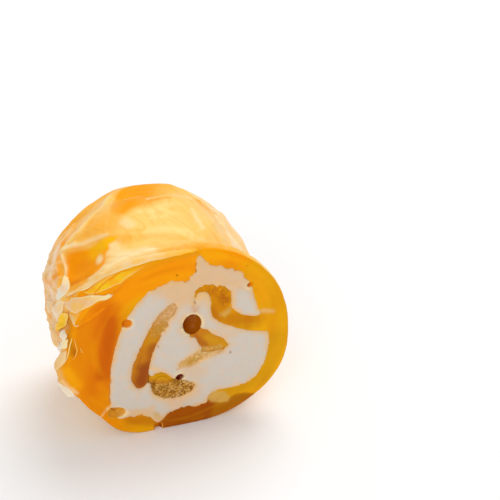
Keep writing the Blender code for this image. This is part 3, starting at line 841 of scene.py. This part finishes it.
strips = {
    "taffy_curl": {
        "node": "amber_curl",
        "voxel": 0.1,
        "smoothing": 4,
        "raise": 0.2,
        "growth": 0.32,
        "granule": 0.3,
        "thinned": 0.15,
        "base": "ochre",
        "strokes": (
            ("olive", (-1.6, 2.8), (-3.2, 0.4), 0.7, 0.5),
            ("sand", (-0.1, 4.9), (-1.5, 2.8), 1.0, 1.0),
            ("foam", (-1.7, 2.4), (-2.5, 1.4), 0.5, 0.7),
            ("rust", (-2.9, -0.4), (-3.3, -2.8), 0.5, 0.9),
            ("brown", (-3.9, -3.0), (-4.4, -5.0), 0.7, 1.0),
            ("rust", (-4.2, -1.4), (-4.9, -4.0), 0.2, 0.5),
        ),
        "porous": ((-0.1, 4.9), (-2.0, 2.0), 0.9),
        "wider": (((-0.9, 3.2), (-2.4, -1.0), 0.9, 0.5),),
        "sunk": (),
        "bubbles": (),
    },
    "taffy_wedge": {
        "node": "amber_wedge",
        "voxel": 0.085,
        "smoothing": 4,
        "raise": 0.2,
        "growth": 0.32,
        "granule": 0.3,
        "thinned": 0.15,
        "base": "ochre",
        "strokes": (
            ("olive", (3.4, -0.4), (5.4, -1.8), 0.6, 0.9),
            ("rust", (1.6, 0.6), (3.0, -1.4), 0.3, 0.7),
            ("wheat", (2.8, -1.9), (4.6, -2.0), 0.24, 0.8),
        ),
        "porous": ((2.8, -1.9), (4.6, -2.0), 0.3),
        "wider": (),
        "sunk": (((0.7, -0.6), (1.7, -2.0), 0.5, 0.5), ((2.8, 2.4), (2.9, 1.5), 0.4, 0.5)),
        "bubbles": ("big",),
    },
}


def makeStrip(name):
    about = strips[name]
    piece, points, normals = finePiece(name, about)
    x, z = layerPlaces(points)
    onCut = facingCut(normals)
    atCut = ease((1.2 - depthFromCuts(points)) / 0.8)
    start, end, halfWidth = about["porous"]
    porous = softMask(cutStroke(x, z, start, end), halfWidth) * atCut
    lumps = granules(points, about["granule"], porous)
    growth = about["growth"] + 0.15 * porous + cutSpots(about["wider"], x, z) * np.maximum(0, normals[:, 0])
    moved = points + normals * (1, 0, 1) * growth[:, None]
    relief = 0.04 * cloud(points, 1.0, 41) * onCut + porous * onCut * (0.12 * lumps - 0.06)
    relief -= atCut * cutSpots(about["sunk"], x, z)
    moved[:, 1] += facingOut(points) * (atCut * about["raise"] + relief)
    x, z = layerPlaces(moved)
    tint = np.tile(paints[about["base"]], (len(points), 1))
    warp = 0.25 * cloud(points, 0.8, 43)
    tint = brushStrokes(tint, about["strokes"], cutStroke, x + warp, z + warp)
    tint = brush(tint, "crumb", porous * ease((lumps - 0.6) / 0.3) * 0.6)
    tint = brush(tint, "foam", porous * ease((0.35 - lumps) / 0.3) * 0.8)
    tint = bubbleTint(tint, moved, pressBubbles(moved, about["bubbles"]))
    finishPiece(piece, moved, tint, 0.15 * onCut)
    thinHiddenWalls(piece, hiddenDeep, about["thinned"])
    return piece


# The foamed nodule

nodule = {
    "node": "foam_nodule",
    "voxel": 0.075,
    "smoothing": 3,
    "raise": 0.1,
    "growth": 0.3,
    "proud": 0.3,              # how much of the grains' height past the cut is kept
    "granule": 0.3,
    "smooth": ((-3.2, -4.2), (-1.3, -4.9), 0.7),   # the part without granules
    "bubbles": ("nodule",),
    "thinned": 0.15,
}


def makeNodule():
    piece, points, normals = finePiece("taffy_nodule", nodule)
    x, z = layerPlaces(points)
    atCut = ease((1.0 - depthFromCuts(points)) / 0.6)
    start, end, halfWidth = nodule["smooth"]
    toSmooth = cutStroke(x, z, start, end)
    foamy = atCut * (1 - softMask(toSmooth, halfWidth))
    moved = points + normals * (1, 0, 1) * nodule["growth"]
    squeezed = np.maximum(0.1 - depthFromCuts(points), 0) * (1 - nodule["proud"])
    moved[:, 1] += facingOut(points) * (atCut * nodule["raise"] - squeezed)
    jumbled = moved + 0.25 * np.column_stack([cloud(moved, 0.5, seed) for seed in (53, 54, 55)])
    lumps = granules(jumbled, nodule["granule"], foamy)
    moved[:, 1] += facingOut(points) * foamy * (0.2 * lumps - 0.14 + 0.08 * cloud(points, 0.7, 51))
    tint = np.tile(paints["olive"], (len(points), 1))
    tint = brush(tint, "ochre", softMask(np.abs(toSmooth - halfWidth), 0.25))
    tint = brush(tint, "foam", foamy)
    # crumb on the grains, stronger towards the right, and bran in the gaps: partly the foam's own colours,
    # partly painted highlight on the grains and painted shade in the gaps
    grainHighlight = 0.8 + 0.5 * cloud(points, 0.6, 52) + 0.15 * x
    tint = brush(tint, "crumb", foamy * ease((lumps - 0.35) / 0.3) * grainHighlight)
    tint = brush(tint, "bran", foamy * ease((0.4 - lumps) / 0.25) * 0.9)
    tint = bubbleTint(tint, moved, pressBubbles(moved, nodule["bubbles"]))
    finishPiece(piece, moved, tint, 0.0)
    thinHiddenWalls(piece, hiddenDeep, nodule["thinned"])
    return piece


# Thin skin that has come loose over the front rim and on the left. Each film spans two edges or follows
# one line, given as (angle, distance back from the front rim); below zero is in over the cut. Lifts are
# at the first edge, in the middle and at the second edge; paints are body, patches and edge, the edge
# paint being a painted highlight along the film's rim, and far is what it fades to at its far end. Sharp
# ones keep the corners of their edges.

films = {
    "thickness": 0.08,
    "cell": 0.2,
    "railSteps": 120,
    "sway": 0.07,             # how far its edges wander
    "gloss": 0.15,
    "rim_film": {
        # the fold's pale paints stand partly for a painted highlight where the rounded rim catches the light
        "fold": {
            "edges": (((150.5, 3.4), (146.5, 3.2), (139.2, 2.1), (133.4, 1.5), (126.6, 0.7), (119.6, 0.4),
                       (110.7, -0.1), (104.5, -0.4), (95.5, -0.7), (87.6, -0.8), (77.4, -0.8)),
                      ((148.4, 2.8), (144.5, 1.9), (140.7, 0.8), (136.9, 0.4), (130.6, 0.2), (126.3, -0.2),
                       (120.9, -0.5), (115.4, -0.85), (105.8, -1.1), (96.2, -1.3), (88.1, -1.3),
                       (78.0, -1.1))),
            "lift": (0.0, 0.2, 0.01), "paints": ("apricot", "peach", "cream"), "far": "butter",
        },
        "band": {
            "edges": (((140.0, 0.5), (134.0, 0.2), (127.0, -0.2), (121.0, -0.5), (112.0, -1.0),
                       (103.0, -1.3)),
                      ((138.6, -0.3), (134.4, -0.95), (129.9, -1.25), (123.3, -1.6), (114.0, -1.5),
                       (104.0, -1.4))),
            "lift": (-0.08, 0.02, 0.0), "paints": ("lemon", "butter", "milk"), "far": "orange",
        },
        "flap": {
            "edges": (((150.5, 2.3), (146.9, 1.6), (142.9, 0.55), (139.6, -0.2), (137.0, -0.7), (134.2, -1.5),
                       (131.8, -1.6)),
                      ((151.6, 2.6), (153.5, 1.9), (152.5, 0.76), (151.3, -0.24), (148.0, -0.55),
                       (144.3, -0.95), (141.3, -1.2), (138.6, -1.3), (135.4, -2.0), (133.6, -2.45),
                       (131.0, -2.2))),
            "lift": (0.02, 0.14, 0.03), "paints": ("apricot", "rose", "cream"),
        },
        "sliver": {
            "edges": (((154.6, 1.2), (156.5, -0.2), (157.9, -0.7)),
                      ((153.4, 0.2), (155.0, -0.6), (157.3, -1.1))),
            "lift": (0.0, 0.08, 0.0), "paints": ("peach", "tan", "cream"),
        },
        "bladeOne": {
            "line": ((165.4, -0.7), (171.5, -0.65), (178.6, -0.4)), "width": 0.16,
            "lift": (0.0, 0.14, 0.02), "paints": ("honey", "butter", "milk"),
        },
        "bladeTwo": {
            "line": ((165.8, -1.0), (173.4, -1.46), (177.6, -1.28), (179.4, -0.9)), "width": 0.14,
            "lift": (0.0, 0.14, 0.02), "paints": ("honey", "butter", "honey"),
        },
        "bladeThree": {
            "line": ((172.0, -1.7), (176.2, -2.1)), "width": 0.12,
            "lift": (0.0, 0.1, 0.02), "paints": ("butter", "honey", "honey"),
        },
    },
    "skin_flakes": {
        "knot": {
            "edges": (((158.6, 5.0), (156.5, 5.3), (153.0, 5.0), (149.4, 4.6), (147.0, 4.7), (144.6, 5.4)),
                      ((154.0, 3.6), (151.5, 3.5), (148.6, 3.4), (146.0, 3.6), (144.4, 4.2), (143.2, 5.1))),
            "lift": (0.0, 0.14, 0.0), "paints": ("shell", "pearl", "cream"), "sharp": True,
        },
        "leftLeaf": {
            "edges": (((153.0, 3.4), (164.6, 5.6), (174.0, 7.3), (180.0, 8.0), (184.0, 8.0), (188.5, 7.2)),
                      ((151.0, 2.4), (155.3, 2.6), (160.7, 3.1), (166.0, 3.7), (174.0, 4.9), (184.5, 6.2))),
            "lift": (0.0, 0.16, 0.06), "paints": ("peach", "shell", "cream"), "far": "tan",
        },
        "window": {
            "edges": (((157.2, 2.5), (160.6, 3.2), (165.3, 3.6), (169.5, 3.8), (172.6, 3.5)),
                      ((156.0, 1.9), (154.4, 0.8), (157.5, 0.6), (164.2, 1.8), (168.5, 2.5), (172.8, 3.3))),
            "lift": (0.1, 0.2, 0.1), "paints": ("lemon", "lemon", "sun"), "sharp": True,
        },
        "chip": {
            "edges": (((168.2, 2.3), (171.0, 2.6), (174.4, 2.6)),
                      ((164.6, 1.3), (164.6, -0.1), (168.4, 0.3))),
            "lift": (0.0, 0.14, 0.02), "paints": ("pearl", "shell", "pearl"),
        },
        "upperShard": {
            "edges": (((188.0, 5.3), (178.2, 2.8), (168.5, 0.5), (166.4, -0.3)),
                      ((192.0, 5.0), (185.0, 3.2), (174.0, 0.6), (171.6, -0.4))),
            "lift": (0.0, 0.12, 0.04), "paints": ("shell", "pearl", "cream"),
        },
        "lowerShard": {
            "edges": (((192.6, 4.6), (184.0, 2.4), (174.5, 0.2), (173.2, -0.3)),
                      ((200.6, 3.9), (193.0, 2.0), (183.0, 0.3), (179.0, -0.4))),
            "lift": (0.0, 0.1, 0.02), "paints": ("peach", "tan", "peach"),
        },
        "shoulder": {
            "edges": (((160.5, 6.0), (166.0, 7.0), (172.0, 8.6), (176.0, 10.4)),
                      ((158.6, 4.9), (163.6, 5.4), (171.0, 6.4), (180.0, 8.8))),
            "lift": (0.02, 0.1, 0.06), "paints": ("tan", "apricot", "peach"),
        },
        "backLeaf": {
            "edges": (((180.0, 6.8), (187.0, 8.2), (195.0, 10.6)),
                      ((186.0, 5.4), (196.0, 6.6), (206.0, 9.4))),
            "lift": (0.02, 0.1, 0.06), "paints": ("apricot", "tan", "cream"),
        },
        "lowLeaf": {
            "edges": (((196.0, 5.2), (203.0, 5.6), (211.0, 6.8)), ((202.0, 3.8), (210.0, 3.9), (218.0, 5.4))),
            "lift": (0.02, 0.1, 0.06), "paints": ("apricot", "peach", "cream"),
        },
    },
}


def smoothRail(points, rounds):
    # even steps along a soft curve through these places, in millimetres round and along
    spots = np.array([(angle * mmPerDegree, along) for angle, along in points])
    steps = np.append(0, np.cumsum(np.hypot(*np.diff(spots, axis=0).T)))
    places = np.linspace(0, steps[-1], films["railSteps"] + 1)
    rail = np.column_stack([np.interp(places, steps, spots[:, axis]) for axis in (0, 1)])
    for _ in range(rounds):
        rail[1:-1] = (rail[:-2] + 2 * rail[1:-1] + rail[2:]) / 4
    return rail


def filmRails(about):
    if "edges" in about:
        return [smoothRail(edge, 2 if "sharp" in about else 12) for edge in about["edges"]]
    line = smoothRail(about["line"], 12)
    run = np.gradient(line, axis=0)
    side = np.column_stack((-run[:, 1], run[:, 0])) / np.hypot(*run.T)[:, None]
    half = 0.5 * about["width"] * np.sqrt(np.sin(np.linspace(0.1, math.pi - 0.1, len(line))))
    return [line - side * half[:, None], line + side * half[:, None]]


def shadeUnderside(sheet, surface):
    # the side of a film that faces the roll is painted the roll's orange: painted warm shade under the film
    points, normals = rollPoints(sheet), pointNormals(sheet)
    outwards = [surface.tree.find_nearest(Vector(point))[1] for point in points]
    facing = (normals * np.array(outwards)).sum(axis=1)
    layer = sheet.data.attributes["tint"]
    colours = np.empty(len(points) * 4, np.float32)
    layer.data.foreach_get("color", colours)
    colours = colours.reshape(-1, 4)
    colours[:, :3] = brush(colours[:, :3], "orange", ease((0.3 - facing) / 0.5))
    layer.data.foreach_set("color", colours.ravel())


def makeFilm(name, about, surface):
    first, second = filmRails(about)
    length = np.hypot(*np.diff(first + second, axis=0).T).sum() / 2
    width = np.hypot(*(second - first).T)
    pickNothing()
    bpy.ops.mesh.primitive_grid_add(x_subdivisions=max(6, int(length / films["cell"])),
                                    y_subdivisions=max(3, int(width.max() / films["cell"])), size=1)
    sheet = bpy.context.object
    sheet.name = name
    low, middle, high = about["lift"]
    body, patch, edge = (paints[paint] for paint in about["paints"])
    far = paints[about.get("far", about["paints"][2])]
    places, tints = [], []
    for vertex in sheet.data.vertices:
        along, across = vertex.co.x + 0.5, vertex.co.y + 0.5
        step = int(round(along * films["railSteps"]))
        spot = first[step] + (second[step] - first[step]) * across
        toEnd = min(along, 1 - along) * length
        toEdge = min(across * width[step], (1 - across) * width[step], toEnd)
        mark = (spot[0] / 0.7, spot[1] / 0.7, len(name))
        sway = noise.noise_vector(mark)
        spot = spot + films["sway"] * np.array(sway[:2])
        lift = low * (1 - across) ** 2 + 2 * middle * across * (1 - across) + high * across ** 2
        lift = lift * float(ease(toEnd / 0.4 + 0.2)) + 0.04 * sway[2]
        places.append(surface.onRoll(spot[0] / mmPerDegree, spot[1], lift))
        patchy = noise.noise((mark[0] * 0.6, mark[1] * 0.6, 4.0))
        tint = body + (patch - body) * float(ease(0.5 + 1.4 * patchy))
        # the edge paint is a painted highlight along the film's rim
        tint = tint + (edge - tint) * float(ease((0.2 - toEdge) / 0.14))
        tints.append(tint + (far - tint) * float(ease((along - 0.55) / 0.4)))
    finishPiece(sheet, np.array(places), np.array(tints), films["gloss"])
    addAndApply(sheet, "SOLIDIFY", thickness=films["thickness"] * mm, offset=0.0)
    addAndApply(sheet, "SUBSURF", levels=1, render_levels=1)
    workOn(sheet)
    bpy.ops.object.mode_set(mode="EDIT")
    bpy.ops.mesh.select_all(action="SELECT")
    bpy.ops.mesh.normals_make_consistent(inside=False)
    bpy.ops.object.mode_set(mode="OBJECT")
    shadeUnderside(sheet, surface)
    return sheet


def makeFilms(group, surface):
    print(group)
    sheets = [makeFilm(name, about, surface) for name, about in films[group].items()]
    pickNothing()
    for sheet in sheets:
        sheet.select_set(True)
    bpy.context.view_layer.objects.active = sheets[0]
    bpy.ops.object.join()
    sheets[0].name = group
    return sheets[0]


# Materials

def setInputs(tree, node, inputs):
    # every input gets a value, or a link from another node's output
    for key, value in inputs.items():
        if isinstance(value, bpy.types.NodeSocket):
            tree.links.new(value, node.inputs[key])
        else:
            node.inputs[key].default_value = value


def addNode(tree, kind, inputs, **settings):
    node = tree.nodes.new("ShaderNode" + kind)
    for key, value in settings.items():
        setattr(node, key, value)
    setInputs(tree, node, inputs)
    return node


def mathNode(tree, operation, *values, **settings):
    return addNode(tree, "Math", dict(enumerate(values)), operation=operation, **settings).outputs[0]


def mixColours(tree, mask, first, second, **settings):
    inputs = {0: mask, 6: first, 7: second}
    return addNode(tree, "Mix", inputs, data_type="RGBA", **settings).outputs[2]


def maskNode(tree, group, **inputs):
    return addNode(tree, "Group", inputs, node_tree=group).outputs["Mask"]


def startGroup(name, **inputs):
    # a node group for a mask, with these inputs and their usual values
    group = bpy.data.node_groups.new(name, "ShaderNodeTree")
    for key, value in inputs.items():
        socket = group.interface.new_socket(key, in_out="INPUT", socket_type="NodeSocketFloat")
        socket.default_value = value
    group.interface.new_socket("Mask", in_out="OUTPUT", socket_type="NodeSocketFloat")
    place = addNode(group, "TexCoord", {}).outputs["Object"]
    return group, group.nodes.new("NodeGroupInput").outputs, place


def finishGroup(group, mask):
    outside = group.nodes.new("NodeGroupOutput")
    setInputs(group, outside, {"Mask": mask})
    return group


def mottleGroup():
    # soft patches, 0 to 1, shared by every taffy
    group, given, place = startGroup("mottle", Scale=400, Contrast=2)
    inputs = {"Vector": place, "Scale": given["Scale"], "Detail": 3, "Roughness": 0.6}
    clouds = addNode(group, "TexNoise", inputs)
    centred = mathNode(group, "SUBTRACT", clouds.outputs["Fac"], 0.5)
    spread = mathNode(group, "MULTIPLY_ADD", centred, given["Contrast"], 0.5, use_clamp=True)
    return finishGroup(group, spread)


def pinholeGroup():
    # a few cells of a Voronoi pattern, 1 in the middle of each
    group, given, place = startGroup("pinholes", Scale=900, Share=0.1)
    cells = addNode(group, "TexVoronoi", {"Vector": place, "Scale": given["Scale"]})
    ends = {"From Min": 0.12, "From Max": 0.3, "To Min": 1, "To Max": 0}
    near = addNode(group, "MapRange", {"Value": cells.outputs["Distance"], **ends})
    chosen = mathNode(group, "LESS_THAN", cells.outputs["Color"], given["Share"])
    return finishGroup(group, mathNode(group, "MULTIPLY", near.outputs[0], chosen))


def newMaterial(name):
    material = bpy.data.materials.new(name)
    material.use_nodes = True
    shader = material.node_tree.nodes["Principled BSDF"]
    return material, material.node_tree, shader


# Glow is the soft light inside and glowDepth how far it goes in millimetres. Shade is the colour that the
# patches multiply in, and patches is how many of them fit in a metre.

finishes = {
    "amber_taffy": {
        "rough": (0.24, 0.46), "specular": 0.05, "glow": 0.15, "glowDepth": 0.8,
        "bump": 0.1, "shade": (0.88, 0.74, 0.4), "pinholes": 0.008, "patches": 260,
    },
    "white_taffy": {
        "rough": (0.45, 0.65), "specular": 0.18, "glow": 0.2, "glowDepth": 0.8,
        "bump": 0.16, "shade": (0.92, 0.88, 0.82), "pinholes": 0.02, "patches": 420,
    },
    "deep_amber_taffy": {
        "rough": (0.3, 0.5), "specular": 0.05, "glow": 0.15, "glowDepth": 0.6,
        "bump": 0.16, "shade": (0.8, 0.66, 0.4), "pinholes": 0.03, "patches": 420,
    },
    "foamed_taffy": {
        "rough": (0.45, 0.7), "specular": 0.08, "glow": 0.1, "glowDepth": 0.4,
        "bump": 0.3, "shade": (0.8, 0.68, 0.4), "pinholes": 0.08, "patches": 900,
    },
    "loose_film": {
        "rough": (0.2, 0.42), "specular": 0.14, "glow": 0.15, "glowDepth": 0.4,
        "bump": 0.12, "shade": (0.96, 0.86, 0.62), "pinholes": 0.0, "patches": 500,
    },
}


def taffyMaterial(name, mottle, pinholes):
    # painted colour, broken up by soft patches, pinholes and a fine grain
    look = finishes[name]
    material, tree, shader = newMaterial(name)
    paint = addNode(tree, "Attribute", {}, attribute_name="tint").outputs["Color"]
    gloss = addNode(tree, "Attribute", {}, attribute_name="gloss").outputs["Fac"]
    patches = maskNode(tree, mottle, Scale=look["patches"], Contrast=2.4)
    fine = maskNode(tree, mottle, Scale=look["patches"] * 5, Contrast=2.0)
    holes = maskNode(tree, pinholes, Scale=1500, Share=look["pinholes"])
    darker = mixColours(tree, 1.0, paint, (*look["shade"], 1), blend_type="MULTIPLY")
    colour = paint
    for mask, strength in ((patches, 0.3), (fine, 0.14), (holes, 0.6)):
        colour = mixColours(tree, mathNode(tree, "MULTIPLY", mask, strength), colour, darker)
    low, high = look["rough"]
    rough = addNode(tree, "MapRange", {"Value": fine, "To Min": low, "To Max": high})
    grainy = mathNode(tree, "ADD", patches, mathNode(tree, "MULTIPLY", fine, 0.35))
    height = mathNode(tree, "SUBTRACT", grainy, holes)
    bump = addNode(tree, "Bump", {"Height": height, "Strength": look["bump"], "Distance": 0.15 * mm})
    setInputs(tree, shader, {
        "Base Color": colour,
        "Roughness": rough.outputs[0],
        "Normal": bump.outputs[0],
        "Coat Weight": gloss,
        "Coat Roughness": 0.14,
        "Specular IOR Level": look["specular"],
        "Subsurface Weight": look["glow"],
        "Subsurface Radius": (1.0, 0.6, 0.25),
        "Subsurface Scale": look["glowDepth"] * mm,
    })
    return material


def dress(piece, material):
    piece.data.materials.clear()
    piece.data.materials.append(material)
    piece.data.shade_smooth()


# Floor, light and camera

studio = {
    "floor": (0.92, 0.92, 0.92),
    "world": 0.62,
    "key": {"place": (0.10, 0.10, 0.26), "size": 0.22, "watts": 0.42},
    "front": {"place": (-0.16, -0.30, 0.20), "size": 0.30, "watts": 0.42},
    "camera": {"place": (-0.02447, -0.11570, 0.09848), "turn": (56, 0, -17), "lens": 93.6},
    "aim": (0, 0, 0.012),      # where the lamps point
}


def makeStage():
    print("floor, light and camera")
    pickNothing()
    bpy.ops.mesh.primitive_plane_add(size=4)
    floor = bpy.context.object
    floor.name = "floor"
    material, tree, shader = newMaterial("pale_floor")
    setInputs(tree, shader, {"Base Color": (*studio["floor"], 1), "Roughness": 0.8})
    dress(floor, material)
    world = bpy.data.worlds.new("studio")
    world.use_nodes = True
    tree = world.node_tree
    setInputs(tree, tree.nodes["Background"], {"Color": (1, 1, 1, 1), "Strength": studio["world"]})
    bpy.context.scene.world = world
    for name in ("key", "front"):
        lamp = studio[name]
        bpy.ops.object.light_add(type="AREA", location=lamp["place"])
        light = bpy.context.object
        light.name = name
        light.data.shape = "DISK"
        light.data.size = lamp["size"]
        light.data.energy = lamp["watts"]
        way = Vector(studio["aim"]) - light.location
        light.rotation_euler = way.to_track_quat("-Z", "Y").to_euler()
    bpy.ops.object.camera_add(location=studio["camera"]["place"])
    camera = bpy.context.object
    camera.rotation_euler = [math.radians(turn) for turn in studio["camera"]["turn"]]
    camera.data.lens = studio["camera"]["lens"]
    camera.data.sensor_width = 36
    camera.data.clip_start = 0.005
    bpy.context.scene.camera = camera
    bpy.context.scene.view_settings.view_transform = "Standard"


makeStage()
mottle = mottleGroup()
pinholes = pinholeGroup()
looks = {name: taffyMaterial(name, mottle, pinholes) for name in finishes}

skinPiece = makeSkin()
whitePiece = makeWhite()
curlPiece = makeStrip("taffy_curl")
wedgePiece = makeStrip("taffy_wedge")
nodulePiece = makeNodule()
skinSurface = Surface(skinPiece)
rimFilm = makeFilms("rim_film", skinSurface)
skinFlakes = makeFilms("skin_flakes", skinSurface)

for piece, look, node, slotName in (
    (skinPiece, "amber_taffy", "amber_wrap", "amber_taffy"),
    (whitePiece, "white_taffy", "white_core", "white_taffy"),
    (curlPiece, "deep_amber_taffy", "amber_curl", "deep_amber_taffy"),
    (wedgePiece, "deep_amber_taffy", "amber_wedge", "deep_amber_taffy"),
    (nodulePiece, "foamed_taffy", "foam_nodule", "foamed_taffy"),
    (rimFilm, "loose_film", None, "amber_taffy"),
    (skinFlakes, "loose_film", None, "amber_taffy"),
):
    dress(piece, looks[look])
    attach(piece, "root")
    if node:
        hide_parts(node)
    print(piece.name, len(piece.data.polygons), "faces")
